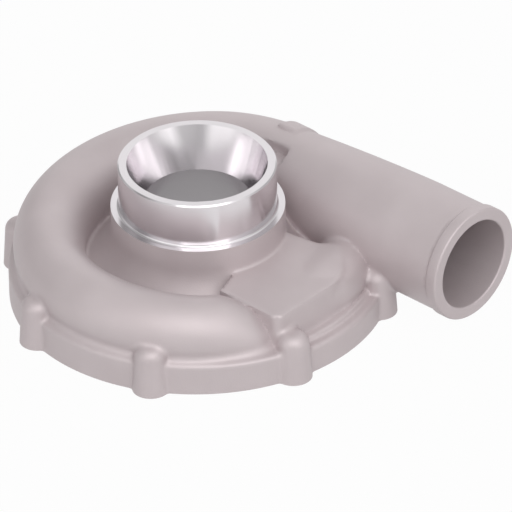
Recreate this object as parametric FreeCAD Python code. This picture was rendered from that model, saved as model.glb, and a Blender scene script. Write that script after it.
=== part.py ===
import FreeCAD, Part
import math
import os
from FreeCAD import Vector

# Turbo compressor housing, one aluminium casting, in millimetres.
# The origin is on the inlet axis in the plane of the mounting face.
# +Z runs up the inlet and +X along the outlet.

# Mounting flange
flange_radius = 96.4
flange_height = 18.6
low_rim_height = 15.4
rim_round = 2.0
rim_overlap = 4.0
floor_radius = 72.0
floor_height = 21.0

# Bosses around the flange, each with a blind tapped hole from below
boss_count = 8
first_boss_angle = 27.6
boss_circle_radius = 93.4
boss_radius = 10.7
boss_column_height = 13.5
bolt_hole_radius = 3.4
bolt_hole_depth = 15.0
bolt_chamfer = 0.8
bolt_drill_point = 2.0

# Inlet: cast neck, machined shoulder and spigot
neck_radius = 44.0
neck_flare_radius = 17.5
shoulder_height = 50.1
spigot_radius = 40.0
spigot_top = 74.3
spigot_chamfer = 0.7
spigot_root_round = 1.2
mouth_radius = 35.5
throat_radius = 27.0
cone_foot_height = 52.7

# Wheel contour and machined faces seen from below
contour_top_height = 34.0
contour_foot_radius = 47.0
contour_pole_rise = 7.0
contour_pole_reach = 6.0
diffuser_height = 11.0
diffuser_radius = 63.5
register_radius = 86.0
register_depth = 6.0
groove_inner_radius = 63.0
groove_outer_radius = 79.0
groove_top = 16.5

# Scroll: a round tube that winds clockwise, seen from above, and grows
# towards the outlet. Each station is the angle upstream of the outlet, the
# tube's outer radius, how far it reaches from the axis and its underside.
# Below the pad only the passage goes on: each row of its tail is the angle,
# the passage's radius, and the radius and height of its centre line.
scroll_underside = 9.5
scroll_wall = 4.6
outlet_wall = 6.4
wall_change_angle = 90.0
outlet_offset = 67.6
outlet_start_radius = 24.6
scroll_reach = 93.6
scroll_stations = (
    (0.0, outlet_start_radius, outlet_offset + outlet_start_radius, scroll_underside),
    (30.0, 23.3, scroll_reach, scroll_underside),
    (150.0, 17.5, scroll_reach, scroll_underside),
    (200.0, 17.3, scroll_reach + 0.6, scroll_underside),
    (225.0, 17.0, scroll_reach + 0.2, scroll_underside),
    (237.5, 16.2, scroll_reach - 2.8, scroll_underside - 3.5),
    (250.0, 8.5, scroll_reach - 9.6, scroll_underside - 3.0),
)
scroll_step = 12.5
tube_sections = 21
passage_tail = (
    (237.5, 10.2, 74.0, 21.0),
    (250.0, 8.2, 71.5, 18.0),
    (262.5, 8.2, 70.6, 18.4),
    (275.0, 8.2, 70.4, 19.2),
    (287.5, 8.2, 71.2, 20.2),
    (300.0, 8.2, 73.0, 21.0),
)

# Outlet pipe
outlet_length = 125.3
outlet_radius = 29.2
outlet_taper_length = 85.0
outlet_bore_radius = 23.6
bead_radius = 30.1
bead_width = 6.5
bead_chamfer = 0.8
mouth_chamfer = 0.8

# Flat pad between the neck, the scroll's start and the outlet. Its outline
# runs from the tip along the front and the outer side to the shoulder.
pad_height = 35.0
pad_foot = 12.0
pad_draft = 2.4
pad_front = -31.8
pad_tip_x = 45.5
pad_side = 83.2
pad_side_end = 13.5
pad_back_outer = (79.0, 21.0)
pad_back_middle = (66.0, 32.0)
pad_back = 26.2
pad_inner_x = 30.0
pad_neck_x = 40.5
pad_neck_y = -17.5
pad_corner_round = 5.0
pad_edge_round = 1.4

# The scroll's narrow start, which shows between the pad and the outlet pipe
tongue_radius = 13.75
tongue_centre_radius = 75.2
tongue_height = 22.6
tongue_start_angle = 12.0
tongue_sweep = 38.0

# Relief and rib where the scroll runs into the outlet
relief_radius = 59.6
relief_floor = 52.9
relief_start_angle = 79.5
relief_sweep = 60.0
rib_start = -9.0
rib_width = 12.0
rib_rise = 1.3
rib_inner_y = 70.0
rib_foot_height = 42.6

# How far a join or a cut runs past the face that it meets
overrun = 1.0

outlet_height = scroll_underside + outlet_start_radius
axis_z = Vector(0, 0, 1)
centre = Vector(0, 0, 0)


def point(radius, height):
    """A point of a profile in the XZ plane."""
    return Vector(radius, 0, height)


def turned(edges, sweep=360.0):
    """The solid that a closed profile in the XZ plane sweeps around the inlet axis."""
    face = Part.Face(Part.Wire(edges))
    return face.revolve(centre, axis_z, sweep)


def lines(points):
    """Straight edges through the points, in order."""
    return [Part.makeLine(a, b) for a, b in zip(points, points[1:])]


def quarter_round(start, middle_centre, radius, from_angle):
    """A quarter circle in the XZ plane, from from_angle to 90 degrees more."""
    middle = math.radians(from_angle + 45.0)
    finish = math.radians(from_angle + 90.0)
    mid_point = middle_centre + Vector(math.cos(middle), 0, math.sin(middle)) * radius
    end_point = middle_centre + Vector(math.cos(finish), 0, math.sin(finish)) * radius
    return Part.Arc(start, mid_point, end_point).toShape(), end_point


def rim_sector(height, from_angle, sweep):
    """A stretch of the flange's rim, with its rounded top edge."""
    round_start = point(flange_radius, height - rim_round)
    round_centre = point(flange_radius - rim_round, height - rim_round)
    arc, arc_end = quarter_round(round_start, round_centre, rim_round, 0.0)
    inner = floor_radius - rim_overlap
    edges = lines([point(inner, height), point(inner, 0), point(flange_radius, 0), round_start])
    edges += [arc, Part.makeLine(arc_end, point(inner, height))]
    sector = turned(edges, sweep)
    sector.rotate(centre, axis_z, from_angle)
    return sector


def flange():
    """The rim is lower in front of the pad, from one boss to the next."""
    pitch = 360.0 / boss_count
    low_start = first_boss_angle - pitch
    low = rim_sector(low_rim_height, low_start, pitch)
    high = rim_sector(flange_height, low_start + pitch, 360.0 - pitch)
    return low.fuse(high)


def neck_and_spigot():
    """The floor inside the scroll, the flared neck, the shoulder and the spigot."""
    flare_foot = point(neck_radius + neck_flare_radius, floor_height)
    flare_centre = flare_foot + Vector(0, 0, neck_flare_radius)
    flare_top = flare_centre - Vector(neck_flare_radius, 0, 0)
    diagonal = neck_flare_radius * math.sqrt(0.5)
    flare_middle = flare_centre - Vector(diagonal, 0, diagonal)
    root_foot = point(spigot_radius + spigot_root_round, shoulder_height)
    root_centre = root_foot + Vector(0, 0, spigot_root_round)
    root_diagonal = spigot_root_round * math.sqrt(0.5)
    root_middle = root_centre - Vector(root_diagonal, 0, root_diagonal)
    root_top = root_centre - Vector(spigot_root_round, 0, 0)
    edges = lines([point(0, spigot_top), centre, point(floor_radius, 0),
                   point(floor_radius, floor_height), flare_foot])
    edges.append(Part.Arc(flare_foot, flare_middle, flare_top).toShape())
    edges += lines([flare_top, point(neck_radius, shoulder_height), root_foot])
    edges.append(Part.Arc(root_foot, root_middle, root_top).toShape())
    edges += lines([root_top, point(spigot_radius, spigot_top - spigot_chamfer),
                    point(spigot_radius - spigot_chamfer, spigot_top), point(0, spigot_top)])
    return turned(edges)


def station(angle):
    """Tube radius, reach and underside at an angle upstream of the outlet."""
    for low, high in zip(scroll_stations, scroll_stations[1:]):
        if angle <= high[0]:
            share = (angle - low[0]) / (high[0] - low[0])
            return [a + (b - a) * share for a, b in zip(low[1:], high[1:])]
    return list(scroll_stations[-1][1:])


def wall_at(angle):
    """The wall is thickest at the outlet and evens out upstream."""
    share = min(angle / wall_change_angle, 1.0)
    return outlet_wall + (scroll_wall - outlet_wall) * share


def section(angle, radius, middle_radius, height):
    """A round section at an angle upstream of the outlet, its seam underneath."""
    middle = point(middle_radius, height)
    circle = Part.Circle(middle, Vector(0, 1, 0), radius).toShape()
    circle.rotate(middle, Vector(0, 1, 0), 180.0)
    circle.rotate(centre, axis_z, 90.0 + angle)
    return Part.Wire([circle])


def tube_section(angle, inset):
    """The tube's section at an angle, or its passage's when inset by the wall."""
    radius, reach, underside = station(angle)
    return section(angle, radius - inset, reach - radius, underside + radius)


def scroll():
    """The tube's outside, as a solid."""
    return Part.makeLoft([tube_section(scroll_step * k, 0.0) for k in range(tube_sections)], True)


def passage():
    """The space inside the tube, which goes on below the pad."""
    angles = [scroll_step * k for k in range(tube_sections)]
    sections = [tube_section(a, wall_at(a)) for a in angles if a < passage_tail[0][0]]
    sections += [section(*row) for row in passage_tail]
    return Part.makeLoft(sections, True)


def outlet_point(along, radius):
    """A point of the outlet's profile, by its distance along and from the outlet's axis."""
    return Vector(along, outlet_offset + radius, outlet_height)


def outlet_turned(edges):
    """The solid that a profile sweeps around the outlet's axis."""
    face = Part.Face(Part.Wire(edges))
    return face.revolve(outlet_point(0, 0), Vector(1, 0, 0), 360.0)


def outlet_pipe():
    """The pipe swells a little from the scroll and ends in a low bead."""
    middle_drop = (outlet_radius - outlet_start_radius) / 4.0
    taper_end = outlet_point(outlet_taper_length, outlet_radius)
    taper = Part.Arc(outlet_point(0, outlet_start_radius),
                     outlet_point(outlet_taper_length / 2.0, outlet_radius - middle_drop),
                     taper_end).toShape()
    bead_start = outlet_length - bead_width
    edges = [taper]
    edges += lines([taper_end, outlet_point(bead_start, outlet_radius),
                    outlet_point(bead_start + bead_chamfer, bead_radius),
                    outlet_point(outlet_length - bead_chamfer, bead_radius),
                    outlet_point(outlet_length, bead_radius - bead_chamfer),
                    outlet_point(outlet_length, 0), outlet_point(0, 0),
                    outlet_point(0, outlet_start_radius)])
    return outlet_turned(edges)


def outlet_bore():
    """The bore widens evenly from the scroll's passage to the mouth."""
    start_radius = outlet_start_radius - outlet_wall
    edges = lines([outlet_point(0, 0), outlet_point(0, start_radius),
                   outlet_point(outlet_length - mouth_chamfer, outlet_bore_radius),
                   outlet_point(outlet_length, outlet_bore_radius + mouth_chamfer),
                   outlet_point(outlet_length + overrun, outlet_bore_radius + mouth_chamfer),
                   outlet_point(outlet_length + overrun, 0), outlet_point(0, 0)])
    return outlet_turned(edges)


def pad_outline(height, spread):
    """The pad's outline at a height, its outer side moved out by spread."""
    corners = [Vector(pad_tip_x, pad_front, height),
               Vector(pad_side + spread, pad_front, height),
               Vector(pad_side + spread, pad_side_end, height),
               Vector(*pad_back_outer, height),
               Vector(*pad_back_middle, height),
               Vector(pad_inner_x, pad_back, height),
               Vector(pad_inner_x, 0, height),
               Vector(pad_neck_x, pad_neck_y, height)]
    return Part.makePolygon(corners + corners[:1])


def pad():
    """A flat-topped block with a slight draft, its upright outer edges rounded."""
    outlines = [pad_outline(pad_height, 0.0), pad_outline(pad_foot, pad_draft)]
    block = Part.makeLoft(outlines, True, True)
    block = block.makeFillet(pad_corner_round, [e for e in block.Edges if is_pad_corner(e)])
    return block.makeFillet(pad_edge_round, [e for e in block.Edges if is_pad_rim(e)])


def is_pad_corner(edge):
    """True for the upright edges along the block's outer side."""
    box = edge.BoundBox
    return box.ZLength > 1.0 and box.XMin > pad_side - pad_corner_round


def is_pad_rim(edge):
    """True for the top edges that show: the front, the outer side and their corners."""
    box = edge.BoundBox
    level = box.ZMin > pad_height - 0.01
    outer = box.XMin > pad_side - 2 * pad_corner_round
    return level and (outer or box.YMax < pad_front + 0.01)


def side_keep():
    """The space inside the pad's drafted outer side, past the pad's end and its top."""
    rise = tongue_height + tongue_radius + overrun - pad_height
    outlines = []
    for height in (pad_height + rise, 0.0):
        side = pad_side + pad_draft * (pad_height - height) / (pad_height - pad_foot)
        corners = [Vector(0, -overrun, height), Vector(side, -overrun, height),
                   Vector(side, outlet_offset, height), Vector(0, outlet_offset, height)]
        outlines.append(Part.makePolygon(corners + corners[:1]))
    return Part.makeLoft(outlines, True, True)


def tongue():
    """A round tube about the inlet axis with a domed end, flush with the pad's outer side."""
    middle = point(tongue_centre_radius, tongue_height)
    circle = Part.Circle(middle, Vector(0, 1, 0), tongue_radius).toShape()
    tube = Part.Face(Part.Wire([circle])).revolve(centre, axis_z, tongue_sweep)
    shape = tube.fuse(Part.makeSphere(tongue_radius, middle, Vector(0, 1, 0)))
    shape.rotate(centre, axis_z, tongue_start_angle)
    return shape.common(side_keep())


def boss(angle):
    """An upright round column with a domed top, whose poles lie inside the flange."""
    place = Vector(boss_circle_radius, 0, 0)
    column = Part.makeCylinder(boss_radius, boss_column_height, place)
    dome_centre = place + Vector(0, 0, boss_column_height)
    dome = Part.makeSphere(boss_radius, dome_centre, Vector(0, 1, 0))
    shape = column.fuse(dome.common(Part.makeCylinder(boss_radius, boss_radius * 2, dome_centre)))
    shape.rotate(centre, axis_z, angle)
    return shape


def bolt_hole(angle):
    """A blind hole from the mounting face, with a chamfer and a drill point."""
    mouth = Part.makeCone(bolt_hole_radius + bolt_chamfer, bolt_hole_radius, bolt_chamfer)
    bore = Part.makeCylinder(bolt_hole_radius, bolt_hole_depth)
    tip = Part.makeCone(bolt_hole_radius, 0, bolt_drill_point, Vector(0, 0, bolt_hole_depth))
    hole = mouth.fuse([bore, tip])
    hole.translate(Vector(boss_circle_radius, 0, 0))
    hole.rotate(centre, axis_z, angle)
    return hole


def boss_angles():
    """The angles of the bosses, evenly spaced."""
    return [first_boss_angle + 360.0 / boss_count * k for k in range(boss_count)]


def rib():
    """A low bump on the far side of the pipe, where the scroll ends."""
    radius = outlet_start_radius + rib_rise
    start = Vector(rib_start, outlet_offset, outlet_height)
    collar = Part.makeCylinder(radius, rib_width, start, Vector(1, 0, 0))
    keep = Part.makeBox(rib_width, 2 * radius, 2 * radius,
                        Vector(rib_start, rib_inner_y, rib_foot_height))
    return collar.common(keep)


def relief():
    """A clearance beside the inlet's spigot, in the crest of the scroll."""
    height = outlet_height + outlet_radius - relief_floor
    ring = Part.makeCylinder(relief_radius, height, Vector(0, 0, relief_floor), axis_z, relief_sweep)
    ring = ring.cut(Part.makeCylinder(neck_radius, height, Vector(0, 0, relief_floor)))
    ring.rotate(centre, axis_z, relief_start_angle)
    return ring


def inlet_cut():
    """Everything turned out along the inlet axis, from the mouth to the mounting face."""
    over = spigot_top + overrun
    slope = (mouth_radius - throat_radius) / (spigot_top - cone_foot_height)
    contour = Part.BezierCurve()
    contour.setPoles([point(throat_radius, contour_top_height),
                      point(throat_radius, diffuser_height + contour_pole_rise),
                      point(throat_radius + contour_pole_reach, diffuser_height),
                      point(contour_foot_radius, diffuser_height)])
    edges = lines([point(0, over), point(mouth_radius + slope * overrun, over),
                   point(throat_radius, cone_foot_height), point(throat_radius, contour_top_height)])
    edges.append(contour.toShape())
    edges += lines([point(contour_foot_radius, diffuser_height),
                    point(diffuser_radius, diffuser_height),
                    point(diffuser_radius, register_depth),
                    point(register_radius, register_depth),
                    point(register_radius, -overrun), point(0, -overrun), point(0, over)])
    return turned(edges)


def groove():
    """The open ring between the diffuser and the scroll's passage."""
    edges = lines([point(groove_inner_radius, 0), point(groove_outer_radius, 0),
                   point(groove_outer_radius, groove_top), point(groove_inner_radius, groove_top),
                   point(groove_inner_radius, 0)])
    return turned(edges)


def compressor_housing():
    """The casting with its machined faces and holes."""
    body = flange().fuse([neck_and_spigot(), outlet_pipe(), rib()])
    body = body.fuse(scroll())
    body = body.fuse([pad(), tongue()] + [boss(a) for a in boss_angles()])
    body = body.cut([relief(), passage(), outlet_bore()])
    body = body.cut([inlet_cut(), groove()] + [bolt_hole(a) for a in boss_angles()])
    return body.removeSplitter()


def main():
    os.makedirs("parts", exist_ok=True)
    housing = compressor_housing()
    print("solids", len(housing.Solids), "valid", housing.isValid(), "volume", round(housing.Volume))
    housing.Solids[0].exportStep("parts/compressor_housing.step")


main()
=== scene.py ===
import math
import bmesh
import bpy
import numpy as np
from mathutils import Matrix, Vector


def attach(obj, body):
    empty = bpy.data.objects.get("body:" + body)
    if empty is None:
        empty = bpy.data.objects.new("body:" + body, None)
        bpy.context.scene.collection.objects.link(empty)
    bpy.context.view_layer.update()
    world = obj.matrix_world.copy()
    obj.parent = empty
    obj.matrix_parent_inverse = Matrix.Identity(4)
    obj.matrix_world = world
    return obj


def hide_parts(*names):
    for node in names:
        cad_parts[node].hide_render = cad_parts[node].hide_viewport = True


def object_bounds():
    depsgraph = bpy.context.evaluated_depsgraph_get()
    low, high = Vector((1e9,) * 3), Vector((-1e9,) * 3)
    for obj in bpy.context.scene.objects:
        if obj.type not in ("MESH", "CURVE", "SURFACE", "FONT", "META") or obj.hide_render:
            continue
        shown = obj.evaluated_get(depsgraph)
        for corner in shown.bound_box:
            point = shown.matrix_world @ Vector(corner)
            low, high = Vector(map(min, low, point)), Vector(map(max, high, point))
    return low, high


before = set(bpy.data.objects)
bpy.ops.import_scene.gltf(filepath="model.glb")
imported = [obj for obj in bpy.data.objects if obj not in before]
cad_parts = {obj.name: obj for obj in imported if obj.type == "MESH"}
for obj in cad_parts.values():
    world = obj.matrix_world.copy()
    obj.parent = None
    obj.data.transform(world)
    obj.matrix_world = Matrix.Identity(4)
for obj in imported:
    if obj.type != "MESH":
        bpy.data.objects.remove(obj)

import openvdb
from mathutils import Matrix, Vector

# A cast turbo compressor housing with its machined faces. The casting is a
# distance field, meshed and then cut by turned tools, as the real one is.
# Sizes are in millimetres, and MM turns them into metres.
MM = 0.001
cad_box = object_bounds()

# Field grid, and how the mesh is drawn onto the surface
voxel = 1.3
margin = 5.0
normal_step = 0.05
project_rounds = 3
least_slope2 = 0.25
smallest_edge = 0.01

# Flange and floor
flange_radius = 96.4
flange_height = 16.6
low_rim_height = 14.4
low_rim_step_radius = 90.5
low_rim_blend_angle = 1.0
rim_round = 1.6
step_round = 1.2
floor_radius = 72.0
floor_height = 21.0

# Bosses
boss_count = 8
first_boss_angle = 27.6
boss_circle_radius = 93.4
boss_foot_radius = 9.5
boss_radius = 7.8
boss_height = 25.6
boss_top_round = 5.0
bolt_hole_radius = 3.4
bolt_hole_depth = 15.0
bolt_chamfer = 0.8
bolt_drill_point = 2.0

# Inlet
neck_radius = 44.0
neck_flare_radius = 17.5
shoulder_height = 50.1
spigot_radius = 40.0
spigot_top = 74.3
spigot_chamfer = 0.7
spigot_root_round = 1.2
mouth_radius = 35.5
throat_radius = 27.0
cone_foot_height = 52.7

# Machined faces seen from below
contour_top_height = 34.0
contour_foot_radius = 47.0
contour_pole_rise = 7.0
contour_pole_reach = 6.0
diffuser_height = 11.0
diffuser_radius = 63.5
register_radius = 86.0
register_depth = 6.0
groove_inner_radius = 63.0
groove_outer_radius = 79.0
groove_top = 16.5

# Scroll: angle upstream of the outlet, tube radius, reach and underside
scroll_underside = 9.5
outlet_offset = 67.6
outlet_start_radius = 24.6
scroll_table = (
    (0.0, outlet_start_radius, outlet_offset + outlet_start_radius, scroll_underside),
    (30.0, 23.3, 93.6, scroll_underside),
    (150.0, 17.5, 93.6, scroll_underside),
    (185.0, 17.5, 93.9, scroll_underside),
    (205.0, 17.2, 94.2, scroll_underside),
    (222.0, 16.8, 94.0, 9.2),
    (234.0, 17.5, 91.4, 5.2),
    (243.0, 14.2, 90.0, 4.7),
    (250.0, 8.0, 84.5, 6.5),
)
# Where the passage runs on below the pad: angle, radius, centre radius, height
passage_tail = (
    (237.5, 10.2, 74.0, 21.0),
    (250.0, 8.2, 71.5, 18.0),
    (262.5, 8.2, 70.6, 18.4),
    (275.0, 8.2, 70.4, 19.2),
    (287.5, 8.2, 71.2, 20.2),
    (300.0, 8.2, 73.0, 21.0),
)
table_smoothing = 3.0
table_step = 0.5
table_margin = 10.0
kernel_widths = 3.0
scroll_wall = 4.6
outlet_wall = 6.4
wall_change_angle = 90.0
skirt_draft = 14.0

# Outlet pipe
outlet_height = scroll_underside + outlet_start_radius
outlet_length = 125.3
outlet_radius = 29.2
outlet_taper_length = 85.0
outlet_bore_radius = 23.6
bead_radius = 30.1
bead_width = 6.5
bead_slope = 1.6
end_round = 1.0

# Pad
pad_height = 35.0
pad_foot = 12.0
pad_draft = 1.3
pad_side = 84.6
pad_front = -33.8
pad_side_end = 13.5
pad_corners = ((45.5, pad_front), (pad_side, pad_front), (pad_side, pad_side_end),
               (79.0, 21.0), (66.0, 32.0), (30.0, 26.2), (30.0, 0.0), (40.5, -17.5))
pad_corner_round = 5.0
pad_edge_round = 1.1

# The scroll's narrow start, between the pad and the pipe
tongue_radius = 13.75
tongue_centre_radius = 75.2
tongue_height = 22.6
tongue_start_angle = 12.0
tongue_sweep = 38.0
tongue_side_round = 2.0

# Relief and rib where the scroll runs into the outlet
relief_radius = 59.6
relief_floor = 51.9
relief_start_angle = 79.5
relief_sweep = 60.0
relief_round = 4.0
relief_edge_round = 0.6
rib_start = -9.0
rib_width = 12.0
rib_rise = 1.3
rib_inner_y = 70.0
rib_foot_height = 42.6
rib_round = 1.0
rib_fillet = 0.8

# Cast fillets. A pair gives where one size runs over into another: radii and
# places in millimetres, tube_end_angles in degrees upstream of the outlet.
valley_fillet = 2.6
ledge_fillet = 4.2
tube_end_fillet = 4.2
ledge_radii = (66.0, 80.0)
tube_end_angles = (218.0, 238.0)
pad_crease = 0.9
pad_neck_fillet = 1.0
pad_tip_fillet = 1.0
pad_neck_radii = (46.0, 56.0)
pad_tip_x = (50.0, 62.0)
pad_tip_y = (-24.0, -12.0)
tongue_fillet = 5.5
tongue_side_fillet = 2.0
tongue_side_x = (68.0, 80.0)
boss_foot_fillet = 1.3
boss_top_fillet = 2.4
boss_top_heights = (18.0, 23.0)

# Edges sharper than this, in degrees, are shaded sharp
cast_edge_angle = 50.0
turned_edge_angle = 12.0

# Machining stock that the turned tools take off
stock = 1.6

# Light: the surround's brightest direction, its range, and the key lamp
key_direction = (0.75, 0.05, 0.66)
world_dim = 0.2
world_bright = 1.1
world_dim_cosine = -0.4
key_power = 10.5
key_place = (1.0, -0.75, 1.2)
key_target = (0, 0, 0.03)
key_size = (1.8, 1.4)

# Soft strips that stand around the part: azimuth in degrees and level. They
# fade out between two heights on the unit sphere.
band_top = 0.8
band_edge = 0.5
bands = (
    (-180.0, 0.45), (-168.0, 0.60), (-155.0, 0.65), (-142.0, 0.40), (-128.0, 0.45),
    (-114.0, 1.00), (-100.0, 1.30), (-71.0, 1.25), (-57.0, 0.50), (-41.0, 0.48),
    (-27.0, 0.80), (-12.0, 1.35), (2.0, 1.25), (16.0, 0.90), (30.0, 0.70),
    (44.0, 0.60), (100.0, 0.60), (118.0, 1.15), (148.0, 1.15), (160.0, 0.45),
    (180.0, 0.45),
)
floor_white_share = 0.97
# Painted shade: under the part, near the axis, the floor's white glow drops to this share. It
# rises back to the full share between the two radii below, and the floor's real shadow shows
# through it.
painted_shade_white_share = 0.32
floor_shade = 0.4
floor_half_m = 3.0
floor_drop_m = 0.0002
painted_shade_edge_m = (0.07, 0.09)


def round_union(a, b, radius):
    """Union of two fields with a concave fillet where they meet."""
    inner = np.hypot(np.maximum(radius - a, 0.0), np.maximum(radius - b, 0.0))
    return np.maximum(radius, np.minimum(a, b)) - inner


def round_common(a, b, radius):
    """The part common to two fields, with a convex round where they meet."""
    outer = np.hypot(np.maximum(radius + a, 0.0), np.maximum(radius + b, 0.0))
    return np.minimum(-radius, np.maximum(a, b)) + outer


def smooth_step(value, low, high):
    """0 below low, 1 above high and a smooth rise between."""
    t = np.clip((value - low) / (high - low), 0.0, 1.0)
    return t * t * (3.0 - 2.0 * t)


def smooth_table(rows):
    """A table by angle as close samples, with its corners smoothed."""
    rows = np.array(rows)
    rows = np.vstack([2.0 * rows[0] - rows[1], rows]).T
    step = table_step
    samples = np.arange(rows[0][1] - table_margin, rows[0][-1] + table_margin, step)
    reach = int(kernel_widths * table_smoothing / step)
    kernel = np.exp(-0.5 * (np.arange(-reach, reach + 1) * step / table_smoothing) ** 2)
    kernel /= kernel.sum()
    wide = np.arange(samples[0] - reach * step, samples[-1] + (reach + 0.5) * step, step)
    columns = [np.convolve(np.interp(wide, rows[0], row), kernel, "valid") for row in rows[1:]]
    return samples, columns


def at_angle(table, upstream):
    """The table's values at some angles."""
    samples, columns = table
    return [np.interp(upstream, samples, column) for column in columns]


def passage_rows():
    """The passage's radius, centre radius and height: the tube's less its wall, then the tail."""
    rows = []
    for angle, radius, reach, underside in scroll_table:
        if angle < passage_tail[0][0] - table_smoothing:
            share = min(angle / wall_change_angle, 1.0)
            wall = outlet_wall + (scroll_wall - outlet_wall) * share
            rows.append((angle, radius - wall, reach - radius, underside + radius))
    return rows + list(passage_tail)


tube_table = smooth_table([(a, r, reach - r, under + r) for a, r, reach, under in scroll_table])
passage_table = smooth_table(passage_rows())


def polygon_field(x, y, corners):
    """Signed distance to a closed outline in the XY plane."""
    nearest = np.full(x.shape, np.inf)
    inside = np.zeros(x.shape, bool)
    for (ax, ay), (bx, by) in zip(corners, corners[1:] + corners[:1]):
        ex, ey = bx - ax, by - ay
        share = np.clip(((x - ax) * ex + (y - ay) * ey) / (ex * ex + ey * ey), 0.0, 1.0)
        gap = (x - ax - ex * share) ** 2 + (y - ay - ey * share) ** 2
        nearest = np.minimum(nearest, gap)
        if ey:
            inside ^= ((ay > y) != (by > y)) & (x < ax + (y - ay) * ex / ey)
    return np.where(inside, -1.0, 1.0) * np.sqrt(nearest)


def flange_field(z, radius, angle):
    """The rim, whose outer part steps down in front of the pad, from one boss to the next."""
    pitch = 360.0 / boss_count
    off_middle = np.abs((angle - first_boss_angle + pitch / 2.0 + 180.0) % 360.0 - 180.0)
    blend = low_rim_blend_angle
    low = 1.0 - smooth_step(off_middle, pitch / 2.0 - blend, pitch / 2.0 + blend)
    height = flange_height + (low_rim_height - flange_height) * low
    rim = round_common(radius - flange_radius, z - height, rim_round)
    step = round_common(radius - low_rim_step_radius, z - flange_height, step_round)
    return round_union(rim, step, step_round * low)


def boss_field(z, radius, angle):
    """Upright, drafted columns with rounded tops around the flange."""
    pitch = 360.0 / boss_count
    turn = np.radians((angle - first_boss_angle + pitch / 2.0) % pitch - pitch / 2.0)
    along = radius * np.cos(turn) - boss_circle_radius
    side = radius * np.sin(turn)
    column = boss_radius + (boss_foot_radius - boss_radius) * (1.0 - z / boss_height)
    return round_common(np.hypot(along, side) - column, z - boss_height, boss_top_round)


def tube_field(x, y, z, radius, angle):
    """The tube's outside, which ends in a dome inside the pad, and the outlet pipe."""
    upstream = (angle - 90.0) % 360.0
    last = scroll_table[-1][0]
    size, middle, height = at_angle(tube_table, np.minimum(upstream, last))
    tube = np.hypot(radius - middle, z - height) - size
    lean = math.radians(skirt_draft)
    skirt = (radius - middle) * math.cos(lean) - (z - height) * math.sin(lean) - size
    below = (radius - middle) * math.sin(lean) + (z - height) * math.cos(lean)
    tube = np.minimum(tube, np.maximum(np.maximum(skirt, below), middle - radius))
    end_size, end_middle, end_height = at_angle(tube_table, last)
    turn = math.radians(90.0 + last)
    end = np.sqrt((x - end_middle * math.cos(turn)) ** 2 + (y - end_middle * math.sin(turn)) ** 2
                  + (z - end_height) ** 2) - end_size
    field = np.where(upstream <= last, tube, end)
    swell = np.clip(x / outlet_taper_length, 0.0, 1.0)
    growth = outlet_radius - outlet_start_radius
    pipe_size = outlet_start_radius + growth * swell * (3.0 - swell) / 2.0
    at_bead = x > outlet_length - bead_width - bead_slope / 2.0
    pipe_size = np.where(at_bead, bead_radius + stock, pipe_size)
    return with_pipe(field, pipe_size, x, y, z)


def passage_field(x, y, z, radius, angle):
    """The space inside the tube and the first stretch of the outlet's bore."""
    upstream = (angle - 90.0) % 360.0
    last = passage_tail[-1][0]
    size, middle, height = at_angle(passage_table, np.minimum(upstream, last))
    tube = np.hypot(radius - middle, z - height) - size
    end = radius * np.sin(np.radians(np.clip(upstream - last, -90.0, 90.0)))
    return with_pipe(np.maximum(tube, end), outlet_start_radius - outlet_wall, x, y, z)


def with_pipe(field, pipe_size, x, y, z):
    """A field joined with the round pipe along the outlet's axis."""
    pipe = np.hypot(y - outlet_offset, z - outlet_height) - pipe_size
    pipe = np.maximum(pipe, x - outlet_length - stock)
    return np.where((x >= 0.0) & (y > 0.0), np.minimum(field, pipe), field)


def pad_field(x, y, z):
    """The flat pad between the neck and the outlet, its outer side drafted."""
    shift = pad_draft * (pad_height - z) / (pad_height - pad_foot)
    shift = shift * smooth_step(x, pad_corners[0][0], pad_side)
    x = x - shift
    outline = polygon_field(x, y, pad_corners)
    outline = np.maximum(outline, round_common(x - pad_side, pad_front - y, pad_corner_round))
    ax, ay = pad_corners[2]
    bx, by = pad_corners[3]
    slant = ((x - ax) * (by - ay) - (y - ay) * (bx - ax)) / math.hypot(bx - ax, by - ay)
    outline = np.maximum(outline, round_common(x - pad_side, slant, pad_corner_round))
    return round_common(outline, z - pad_height, pad_edge_round)


def tongue_field(x, y, z, angle):
    """A round tube about the inlet axis with domed ends, flush with the pad's outer side."""
    turn = np.radians(np.clip(angle, tongue_start_angle, tongue_start_angle + tongue_sweep))
    crest = np.sqrt((x - tongue_centre_radius * np.cos(turn)) ** 2
                    + (y - tongue_centre_radius * np.sin(turn)) ** 2
                    + (z - tongue_height) ** 2) - tongue_radius
    side = x - pad_side - pad_draft * (pad_height - z) / (pad_height - pad_foot)
    return round_common(crest, side, tongue_side_round)


def relief_field(z, radius, angle):
    """The clearance beside the inlet's shoulder, in the crest of the scroll."""
    middle = relief_start_angle + relief_sweep / 2.0
    off = np.abs((angle - middle + 180.0) % 360.0 - 180.0) - relief_sweep / 2.0
    end = radius * np.sin(np.radians(np.clip(off, -90.0, 90.0)))
    ring = round_common(radius - relief_radius, end, relief_round)
    ring = np.maximum(ring, neck_radius + stock - radius)
    return np.maximum(ring, relief_floor - z)


def rib_field(x, y, z):
    """A low bump on the far side of the pipe, where the scroll ends."""
    collar = np.hypot(y - outlet_offset, z - outlet_height) - outlet_start_radius - rib_rise
    ends = np.abs(x - rib_start - rib_width / 2.0) - rib_width / 2.0
    keep = np.maximum(ends, np.maximum(rib_inner_y - y, rib_foot_height - z))
    return round_common(collar, keep, rib_round)


def tube_fillet(radius, angle):
    """Small against the rim, larger in the valley by the neck and at the tube's end."""
    outside = smooth_step(radius, *ledge_radii)
    near_end = smooth_step((angle - 90.0) % 360.0, *tube_end_angles)
    ledge = ledge_fillet + (tube_end_fillet - ledge_fillet) * near_end
    return valley_fillet + (ledge - valley_fillet) * outside


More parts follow.
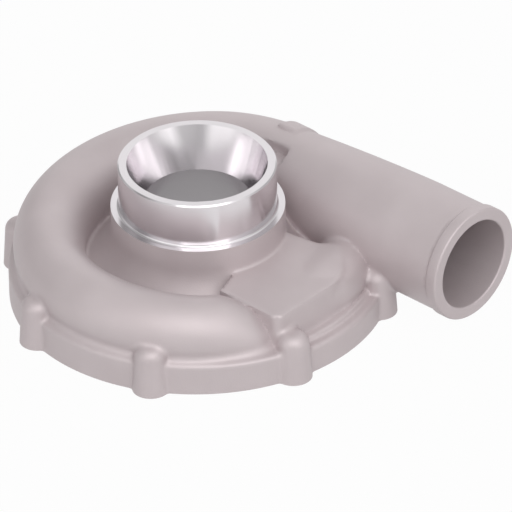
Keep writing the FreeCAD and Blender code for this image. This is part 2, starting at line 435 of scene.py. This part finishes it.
def pad_fillet(x, y, radius):
    """A crisp crease along the pad, a little softer by the neck and at the pad's tip."""
    by_neck = 1.0 - smooth_step(radius, *pad_neck_radii)
    at_tip = (1.0 - smooth_step(x, *pad_tip_x)) * (1.0 - smooth_step(y, *pad_tip_y))
    size = pad_crease + (pad_neck_fillet - pad_crease) * by_neck
    return size + (pad_tip_fillet - size) * at_tip


def cast_field(x, y, z):
    """The whole casting, before its faces are machined."""
    radius = np.hypot(x, y)
    angle = np.degrees(np.arctan2(y, x))
    rim = flange_field(z, radius, angle)
    floor = np.maximum(z - floor_height, radius - floor_radius)
    neck = np.maximum(radius - neck_radius, z - spigot_top - stock)
    body = np.minimum(round_union(neck, floor, neck_flare_radius), rim)
    body = round_union(body, tube_field(x, y, z, radius, angle), tube_fillet(radius, angle))
    blend = tongue_fillet + (tongue_side_fillet - tongue_fillet) * smooth_step(x, *tongue_side_x)
    raised = round_union(pad_field(x, y, z), tongue_field(x, y, z, angle), blend)
    body = round_union(body, raised, pad_fillet(x, y, radius))
    boss_fillet = boss_foot_fillet
    boss_fillet += (boss_top_fillet - boss_foot_fillet) * smooth_step(z, *boss_top_heights)
    body = round_union(body, boss_field(z, radius, angle), boss_fillet)
    body = round_union(body, rib_field(x, y, z), rib_fillet)
    body = round_common(body, -relief_field(z, radius, angle), relief_edge_round)
    body = np.maximum(body, -passage_field(x, y, z, radius, angle))
    return np.maximum(body, -z - stock)


def field_gradient(points):
    """The field at some points and its slope there."""
    x, y, z = points.T
    h = normal_step
    here = cast_field(x, y, z)
    slope = np.stack([cast_field(x + h, y, z) - cast_field(x - h, y, z),
                      cast_field(x, y + h, z) - cast_field(x, y - h, z),
                      cast_field(x, y, z + h) - cast_field(x, y, z - h)], 1) / (2.0 * h)
    return here, slope


def cast_mesh():
    """The casting's mesh: the field on a grid, with its points moved onto the surface."""
    low = np.array(cad_box[0]) / MM - margin
    high = np.array(cad_box[1]) / MM + margin
    counts = np.ceil((high - low) / voxel).astype(int) + 1
    axes = [low[k] + voxel * np.arange(counts[k]) for k in range(3)]
    x, y, z = np.meshgrid(*axes, indexing="ij")
    field = cast_field(x.ravel(), y.ravel(), z.ravel()).reshape(x.shape)
    band = 3.0 * voxel
    grid = openvdb.FloatGrid(band)
    grid.copyFromArray(np.clip(field, -band, band).astype(np.float32))
    points, quads = grid.convertToQuads(0.0)
    points = points.astype(float) * voxel + low
    for _ in range(project_rounds):
        here, slope = field_gradient(points)
        length2 = np.maximum((slope ** 2).sum(1), least_slope2)
        step = -(here / length2)[:, None] * slope
        points += np.clip(step, -0.5 * voxel, 0.5 * voxel)
    mesh = bpy.data.meshes.new("compressor_housing_casting")
    mesh.from_pydata((points * MM).tolist(), [], quads[:, ::-1].tolist())
    mesh.validate()
    return mesh


def turned_mesh(name, profile, segments, along=None):
    """A closed solid of revolution from (radius, height) points, about Z or about along's axis."""
    rows = len(profile)
    points, faces = [], []
    for k in range(segments):
        turn = 2.0 * math.pi * k / segments
        for radius, height in profile:
            if along is None:
                points.append((radius * math.cos(turn), radius * math.sin(turn), height))
            else:
                points.append((height, along[0] + radius * math.cos(turn),
                               along[1] + radius * math.sin(turn)))
    for k in range(segments):
        here, after = k * rows, (k + 1) % segments * rows
        for j in range(rows):
            n = (j + 1) % rows
            faces.append((here + j, after + j, after + n, here + n))
    mesh = bpy.data.meshes.new(name)
    mesh.from_pydata([tuple(c * MM for c in p) for p in points], [], faces)
    return weld_and_face_out(mesh)


def weld_and_face_out(mesh):
    """Welds the points on the axis and turns the faces outwards."""
    bm = bmesh.new()
    bm.from_mesh(mesh)
    bmesh.ops.remove_doubles(bm, verts=bm.verts, dist=1e-6)
    bmesh.ops.recalc_face_normals(bm, faces=bm.faces)
    bm.to_mesh(mesh)
    bm.free()
    return mesh


def arc(centre, radius, start, finish, steps):
    """Points of an arc in a profile, from one angle in degrees to another."""
    turns = [math.radians(start + (finish - start) * k / steps) for k in range(steps + 1)]
    return [(centre[0] + radius * math.cos(t), centre[1] + radius * math.sin(t)) for t in turns]


def bezier(poles, steps):
    """Points of a cubic curve in a profile."""
    result = []
    for k in range(steps + 1):
        t = k / steps
        weights = ((1 - t) ** 3, 3 * t * (1 - t) ** 2, 3 * t * t * (1 - t), t ** 3)
        result.append(tuple(sum(w * p[c] for w, p in zip(weights, poles)) for c in (0, 1)))
    return result


def spigot_tool():
    """Turns the outside of the spigot, its end and the shoulder."""
    outer = neck_radius + stock / 2.0
    over = spigot_top + 2.0 * stock
    root = (spigot_radius + spigot_root_round, shoulder_height + spigot_root_round)
    profile = [(outer, shoulder_height), (root[0] + 0.2, shoulder_height)]
    profile += arc(root, spigot_root_round, 270.0, 180.0, 10)
    profile += [(spigot_radius, root[1] + 0.2), (spigot_radius, spigot_top - spigot_chamfer),
                (spigot_radius - spigot_chamfer, spigot_top), (0.0, spigot_top),
                (0.0, over), (outer, over)]
    return turned_mesh("spigot_tool", profile, 256)


def inlet_tool():
    """Bores the mouth, the throat, the wheel contour, the diffuser and the register."""
    slope = (mouth_radius - throat_radius) / (spigot_top - cone_foot_height)
    lead = 2.0 * stock
    poles = ((throat_radius, contour_top_height),
             (throat_radius, diffuser_height + contour_pole_rise),
             (throat_radius + contour_pole_reach, diffuser_height),
             (contour_foot_radius, diffuser_height))
    profile = [(0.0, spigot_top + lead), (mouth_radius + slope * lead, spigot_top + lead),
               (throat_radius, cone_foot_height)]
    profile += bezier(poles, 24)
    profile += [(diffuser_radius, diffuser_height), (diffuser_radius, register_depth),
                (register_radius, register_depth), (register_radius, 0.0),
                (flange_radius * 1.5, 0.0), (flange_radius * 1.5, -lead), (0.0, -lead)]
    return turned_mesh("inlet_tool", profile, 256)


def groove_tool():
    """Opens the scroll's passage towards the diffuser."""
    low = register_depth - 1.0
    profile = [(groove_inner_radius, low), (groove_outer_radius, low),
               (groove_outer_radius, groove_top), (groove_inner_radius, groove_top)]
    return turned_mesh("groove_tool", profile, 192)


def outlet_tool():
    """Shapes the end, the bead and the bore of the outlet."""
    start_radius = outlet_start_radius - outlet_wall
    end = outlet_length
    over = end + 2.0 * stock
    far = bead_radius + 2.0 * stock
    foot = end - bead_width
    profile = [(0.0, 0.0), (start_radius, 0.0), (outlet_bore_radius, end - end_round - 0.3),
               (outlet_bore_radius, end - end_round)]
    profile += arc((outlet_bore_radius + end_round, end - end_round), end_round, 180.0, 90.0, 8)
    profile += [(outlet_bore_radius + end_round + 0.3, end), (bead_radius - end_round - 0.3, end)]
    profile += arc((bead_radius - end_round, end - end_round), end_round, 90.0, 0.0, 8)
    for k in range(9):
        share = k / 8.0
        rise = share * share * (3.0 - 2.0 * share)
        height = foot + bead_slope * (0.5 - share)
        profile.append((bead_radius - (bead_radius - outlet_radius - 0.05) * rise, height))
    start = foot - bead_slope / 2.0 - 2.0 * stock
    profile += [(profile[-1][0], start), (far, start), (far, over), (0.0, over)]
    return turned_mesh("outlet_tool", profile, 160, (outlet_offset, outlet_height))


def hole_tools():
    """The drilled holes under the bosses."""
    top = bolt_hole_depth
    profile = [(0.0, -stock * 3.0), (bolt_hole_radius + bolt_chamfer, -stock * 3.0),
               (bolt_hole_radius + bolt_chamfer, 0.0), (bolt_hole_radius, bolt_chamfer),
               (bolt_hole_radius, top), (0.0, top + bolt_drill_point)]
    meshes = []
    for k in range(boss_count):
        mesh = turned_mesh(f"hole_tool_{k}", profile, 48)
        turn = math.radians(first_boss_angle + 360.0 / boss_count * k)
        place = Vector((math.cos(turn), math.sin(turn), 0.0)) * (boss_circle_radius * MM)
        mesh.transform(Matrix.Translation(place))
        meshes.append(mesh)
    return meshes


def cut(body, tool_mesh, material):
    """Cuts the body with a tool, whose faces bring their own material."""
    tool_mesh.materials.append(material)
    tool = bpy.data.objects.new(tool_mesh.name, tool_mesh)
    bpy.context.scene.collection.objects.link(tool)
    modifier = body.modifiers.new("cut", "BOOLEAN")
    modifier.operation = "DIFFERENCE"
    modifier.solver = "MANIFOLD"
    modifier.material_mode = "TRANSFER"
    modifier.object = tool
    depsgraph = bpy.context.evaluated_depsgraph_get()
    result = bpy.data.meshes.new_from_object(body.evaluated_get(depsgraph))
    body.modifiers.clear()
    body.data = result
    bpy.data.objects.remove(tool)


def add_node(tree, kind, links=(), **values):
    """A shader node with its input values and the sockets that feed it."""
    made = tree.nodes.new(kind)
    for key, value in values.items():
        made.inputs[key.replace("_", " ")].default_value = value
    for key, source in links:
        tree.links.new(source, made.inputs[key])
    return made


def cast_material():
    """Bead-blasted aluminium: a soft sheen, a fine grain and slight clouding."""
    material = bpy.data.materials.new("cast_aluminium")
    material.use_nodes = True
    tree = material.node_tree
    shader = tree.nodes["Principled BSDF"]
    shader.inputs["Metallic"].default_value = 0.4
    place = add_node(tree, "ShaderNodeTexCoord").outputs["Object"]
    cloud = add_node(tree, "ShaderNodeTexNoise", [("Vector", place)], Scale=38.0, Detail=3.0)
    cloud = cloud.outputs["Fac"]
    ramp = add_node(tree, "ShaderNodeValToRGB", [("Fac", cloud)])
    ramp.color_ramp.elements[0].position = 0.3
    ramp.color_ramp.elements[0].color = (0.54, 0.475, 0.485, 1.0)
    ramp.color_ramp.elements[1].position = 0.72
    ramp.color_ramp.elements[1].color = (0.58, 0.515, 0.525, 1.0)
    tree.links.new(ramp.outputs["Color"], shader.inputs["Base Color"])
    rough = add_node(tree, "ShaderNodeMapRange", [("Value", cloud)], To_Min=0.46, To_Max=0.56)
    tree.links.new(rough.outputs["Result"], shader.inputs["Roughness"])
    grain = add_node(tree, "ShaderNodeTexNoise", [("Vector", place)], Scale=1400.0, Detail=2.0)
    bump = add_node(tree, "ShaderNodeBump", [("Height", grain.outputs["Fac"])],
                    Strength=0.3, Distance=0.0002)
    tree.links.new(bump.outputs["Normal"], shader.inputs["Normal"])
    return material


def machined_material():
    """Bright turned aluminium, its sheen drawn out across fine tool marks round the axis."""
    material = bpy.data.materials.new("machined_aluminium")
    material.use_nodes = True
    tree = material.node_tree
    shader = tree.nodes["Principled BSDF"]
    shader.inputs["Metallic"].default_value = 1.0
    shader.inputs["Base Color"].default_value = (0.74, 0.71, 0.73, 1.0)
    shader.inputs["Anisotropic"].default_value = 0.6
    shader.inputs["Anisotropic Rotation"].default_value = 0.25
    place = add_node(tree, "ShaderNodeTexCoord").outputs["Object"]
    round_axis = tree.nodes.new("ShaderNodeVectorMath")
    round_axis.operation = "CROSS_PRODUCT"
    round_axis.inputs[1].default_value = (0.0, 0.0, 1.0)
    tree.links.new(place, round_axis.inputs[0])
    tree.links.new(round_axis.outputs["Vector"], shader.inputs["Tangent"])
    cloud = add_node(tree, "ShaderNodeTexNoise", [("Vector", place)], Scale=60.0, Detail=2.0)
    rough = add_node(tree, "ShaderNodeMapRange", [("Value", cloud.outputs["Fac"])],
                     To_Min=0.15, To_Max=0.21)
    tree.links.new(rough.outputs["Result"], shader.inputs["Roughness"])
    return material


def build_housing():
    """The casting with its machined faces, as one piece."""
    cast = cast_material()
    machined = machined_material()
    mesh = cast_mesh()
    mesh.materials.append(cast)
    body = bpy.data.objects.new("housing", mesh)
    bpy.context.scene.collection.objects.link(body)
    cut(body, outlet_tool(), cast)
    for tool in [spigot_tool(), inlet_tool(), groove_tool()] + hole_tools():
        cut(body, tool, machined)
    shade(body.data)
    return body


def shade(mesh):
    """Drops faces without area, and shades smooth with sharp edges around the machined faces."""
    bm = bmesh.new()
    bm.from_mesh(mesh)
    bmesh.ops.dissolve_degenerate(bm, dist=smallest_edge * MM, edges=bm.edges)
    bmesh.ops.recalc_face_normals(bm, faces=bm.faces)
    for face in bm.faces:
        face.smooth = True
    for edge in bm.edges:
        turned = [face.material_index > 0 for face in edge.link_faces]
        limit = cast_edge_angle
        if any(turned):
            limit = turned_edge_angle if all(turned) else 0.0
        edge.smooth = edge.calc_face_angle(0.0) <= math.radians(limit)
    bm.to_mesh(mesh)
    bm.free()


def build_camera():
    """The photograph's camera: far off, with a long lens."""
    camera = bpy.data.cameras.new("camera")
    camera.sensor_width = 36.0
    camera.lens = 535.28
    camera.clip_start = 0.1
    camera.clip_end = 50.0
    right = (0.740963, 0.671419, -0.013072)
    up = (-0.365945, 0.420016, 0.830464)
    back = (0.563080, -0.610560, 0.556918)
    place = (2.186853, -2.328761, 2.159463)
    matrix = Matrix([(right[k], up[k], back[k], place[k]) for k in range(3)] + [(0, 0, 0, 1)])
    camera_object = bpy.data.objects.new("camera", camera)
    camera_object.matrix_world = matrix
    bpy.context.scene.collection.objects.link(camera_object)
    bpy.context.scene.camera = camera_object


def area_light(name, place, target, size, power):
    """A soft rectangular lamp that faces a point."""
    light = bpy.data.lights.new(name, "AREA")
    light.shape = "RECTANGLE"
    light.size, light.size_y = size
    light.energy = power
    lamp = bpy.data.objects.new(name, light)
    lamp.location = place
    lamp.rotation_euler = (Vector(target) - Vector(place)).to_track_quat("-Z", "Y").to_euler()
    bpy.context.scene.collection.objects.link(lamp)


def build_world():
    """Strips around the part, below a soft cap that is brightest towards key_direction."""
    world = bpy.data.worlds.new("studio")
    bpy.context.scene.world = world
    world.use_nodes = True
    tree = world.node_tree
    background = tree.nodes["Background"]
    background.inputs["Color"].default_value = (1.0, 1.0, 1.0, 1.0)
    place = add_node(tree, "ShaderNodeTexCoord").outputs["Generated"]
    facing = tree.nodes.new("ShaderNodeVectorMath")
    facing.operation = "DOT_PRODUCT"
    facing.inputs[1].default_value = key_direction
    tree.links.new(place, facing.inputs[0])
    soft = add_node(tree, "ShaderNodeMapRange", [("Value", facing.outputs["Value"])],
                    From_Min=world_dim_cosine, From_Max=1.0, To_Min=world_dim, To_Max=world_bright)
    soft.interpolation_type = "SMOOTHSTEP"
    turn = tree.nodes.new("ShaderNodeTexGradient")
    turn.gradient_type = "RADIAL"
    tree.links.new(place, turn.inputs["Vector"])
    ramp = add_node(tree, "ShaderNodeValToRGB", [("Fac", turn.outputs["Fac"])])
    peak = max(level for _, level in bands)
    stops = ramp.color_ramp.elements
    for azimuth, _ in bands[1:-1]:
        stops.new(azimuth / 360.0 + 0.5)
    for stop, (_, level) in zip(stops, bands):
        stop.color = (level / peak, level / peak, level / peak, 1.0)
    band = add_node(tree, "ShaderNodeMapRange", [("Value", ramp.outputs["Color"])], To_Max=peak)
    height = tree.nodes.new("ShaderNodeSeparateXYZ")
    tree.links.new(place, height.inputs["Vector"])
    low = add_node(tree, "ShaderNodeMapRange", [("Value", height.outputs["Z"])],
                   From_Min=band_edge, From_Max=band_top, To_Min=1.0, To_Max=0.0)
    mix = tree.nodes.new("ShaderNodeMix")
    tree.links.new(low.outputs["Result"], mix.inputs["Factor"])
    tree.links.new(soft.outputs["Result"], mix.inputs["A"])
    tree.links.new(band.outputs["Result"], mix.inputs["B"])
    tree.links.new(mix.outputs["Result"], background.inputs["Strength"])


def build_floor():
    """A pale floor, white to the camera and in reflections, with painted shade under the part: its
    white glow is turned down there, over its own real shadow.
    """
    mesh = bpy.data.meshes.new("floor")
    half = floor_half_m
    mesh.from_pydata([(-half, -half, 0), (half, -half, 0), (half, half, 0), (-half, half, 0)],
                     [], [(0, 1, 2, 3)])
    floor = bpy.data.objects.new("floor", mesh)
    floor.location.z = -floor_drop_m
    bpy.context.scene.collection.objects.link(floor)
    material = bpy.data.materials.new("floor")
    material.use_nodes = True
    tree = material.node_tree
    shader = tree.nodes["Principled BSDF"]
    shader.inputs["Base Color"].default_value = (floor_shade, floor_shade, floor_shade, 1.0)
    shader.inputs["Roughness"].default_value = 0.9
    glow = tree.nodes.new("ShaderNodeEmission")
    path = tree.nodes.new("ShaderNodeLightPath")
    seen = path.outputs["Is Camera Ray"]
    for kind in ("Is Glossy Ray", "Is Transmission Ray"):
        either = tree.nodes.new("ShaderNodeMath")
        either.operation = "MAXIMUM"
        tree.links.new(seen, either.inputs[0])
        tree.links.new(path.outputs[kind], either.inputs[1])
        seen = either.outputs["Value"]
    place = add_node(tree, "ShaderNodeTexCoord").outputs["Object"]
    away = tree.nodes.new("ShaderNodeVectorMath")
    away.operation = "LENGTH"
    tree.links.new(place, away.inputs[0])
    # Painted shade under the part: the white glow fades down towards the axis
    clear = add_node(tree, "ShaderNodeMapRange", [("Value", away.outputs["Value"])],
                     From_Min=painted_shade_edge_m[0], From_Max=painted_shade_edge_m[1],
                     To_Min=painted_shade_white_share, To_Max=floor_white_share)
    share = tree.nodes.new("ShaderNodeMath")
    share.operation = "MULTIPLY"
    tree.links.new(clear.outputs["Result"], share.inputs[1])
    tree.links.new(seen, share.inputs[0])
    mix = tree.nodes.new("ShaderNodeMixShader")
    tree.links.new(share.outputs["Value"], mix.inputs["Fac"])
    tree.links.new(shader.outputs["BSDF"], mix.inputs[1])
    tree.links.new(glow.outputs["Emission"], mix.inputs[2])
    tree.links.new(mix.outputs["Shader"], tree.nodes["Material Output"].inputs["Surface"])
    mesh.materials.append(material)


housing = build_housing()
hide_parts("compressor_housing")
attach(housing, "root")
build_camera()
build_world()
build_floor()
area_light("key", key_place, key_target, key_size, key_power)
bpy.context.scene.view_settings.view_transform = "Standard"
